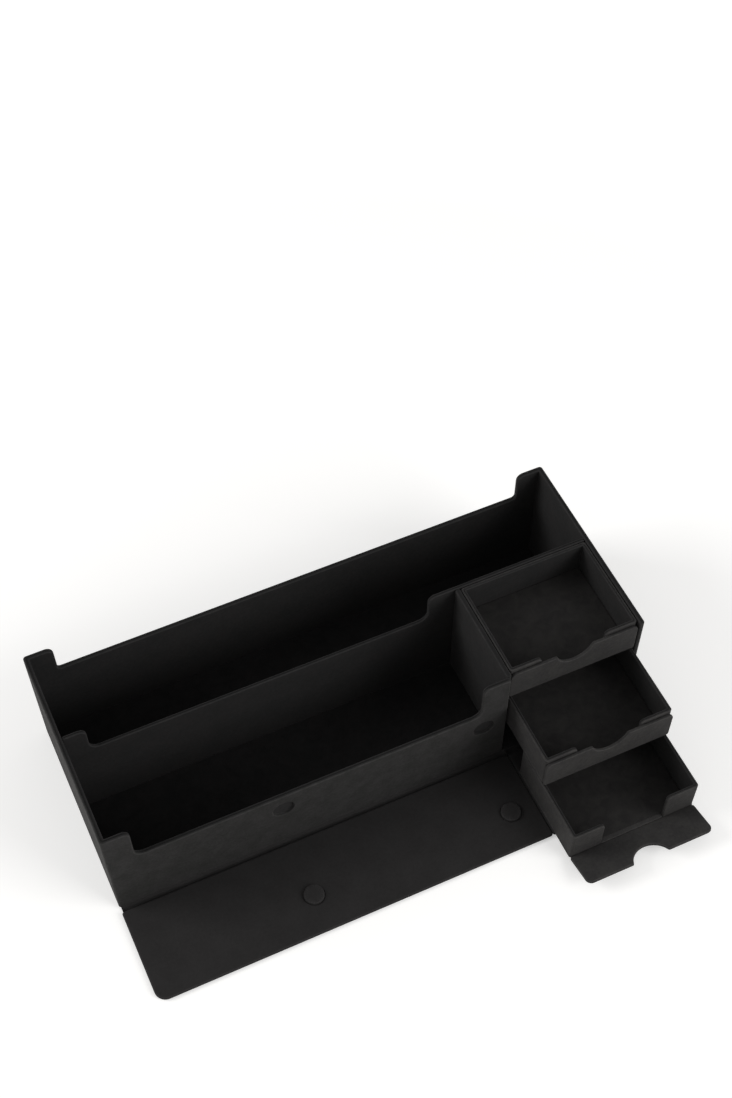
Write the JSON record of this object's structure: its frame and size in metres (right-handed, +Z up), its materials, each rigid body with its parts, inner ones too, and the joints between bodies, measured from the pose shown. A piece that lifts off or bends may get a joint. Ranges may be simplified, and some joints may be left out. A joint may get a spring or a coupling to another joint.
{
  "type": "card storage box",
  "caption": "Long open card storage box of covered board with a deck compartment, a mat compartment, a fold-down front flap and a bay of sliding card drawers with folding fronts.",
  "frame": {"origin": "on the table, under the middle of the case's base board", "axes": "+X along the case towards the drawers, +Y to the back wall, +Z up"},
  "size_m": [0.44, 0.308, 0.107],
  "materials": {
    "covered_board": "suede-like charcoal leatherette over board",
    "inner_board": "near-black fine leatherette over board",
    "drawer_board": "fine charcoal leatherette over thin board",
    "lining": "short black microfibre",
    "magnet": "plated magnet"
  },
  "bodies": {
    "case": {"base_board": "covered_board", "back_wall": "covered_board", "left_wall": "covered_board", "right_wall": "covered_board", "front_wall": "covered_board", "mat_divider": "inner_board", "bay_partition": "inner_board", "upper_shelf": "inner_board", "lower_shelf": "inner_board", "bay_flap": "covered_board", "deck_floor_lining": "lining", "mat_floor_lining": "lining", "front_wall_lining": "lining", "front_wall_magnets": "magnet"},
    "front_flap": {"front_flap_board": "covered_board", "front_flap_studs": "covered_board", "front_flap_magnets": "magnet"},
    "top_drawer": {"top_tray": "drawer_board", "top_base_plate": "drawer_board", "top_floor_lining": "lining", "top_post_magnets": "magnet"},
    "top_drawer_flap": {"top_flap": "drawer_board", "top_flap_magnets": "magnet"},
    "middle_drawer": {"middle_tray": "drawer_board", "middle_base_plate": "drawer_board", "middle_floor_lining": "lining", "middle_post_magnets": "magnet"},
    "middle_drawer_flap": {"middle_flap": "drawer_board", "middle_flap_magnets": "magnet"},
    "bottom_drawer": {"bottom_tray": "drawer_board", "bottom_base_plate": "drawer_board", "bottom_floor_lining": "lining", "bottom_post_magnets": "magnet"},
    "bottom_drawer_flap": {"bottom_flap": "drawer_board", "bottom_flap_magnets": "magnet"}
  },
  "joints": [
    {"name": "front_flap_hinge", "type": "hinge", "parent": "case", "child": "front_flap", "pos_m": [-0.0573, -0.0883, 0.0015], "axis": [-1, 0, 0], "range_deg": [0, 90]},
    {"name": "top_drawer_slide", "type": "slide", "parent": "case", "child": "top_drawer", "axis": [0, -1, 0], "range_m": [0, 0.0632]},
    {"name": "top_flap_hinge", "type": "hinge", "parent": "top_drawer", "child": "top_drawer_flap", "pos_m": [0.161, -0.0801, 0.0752], "axis": [1, 0, 0], "range_deg": [0, 90]},
    {"name": "middle_drawer_slide", "type": "slide", "parent": "case", "child": "middle_drawer", "axis": [0, -1, 0], "range_m": [-0.0632, 0]},
    {"name": "middle_flap_hinge", "type": "hinge", "parent": "middle_drawer", "child": "middle_drawer_flap", "pos_m": [0.161, -0.1433, 0.0399], "axis": [1, 0, 0], "range_deg": [0, 90]},
    {"name": "bottom_drawer_slide", "type": "slide", "parent": "case", "child": "bottom_drawer", "axis": [0, -1, 0], "range_m": [-0.114, 0]},
    {"name": "bottom_flap_hinge", "type": "hinge", "parent": "bottom_drawer", "child": "bottom_drawer_flap", "pos_m": [0.161, -0.1941, 0.0046], "axis": [-1, 0, 0], "range_deg": [-15, 75]}
  ]
}
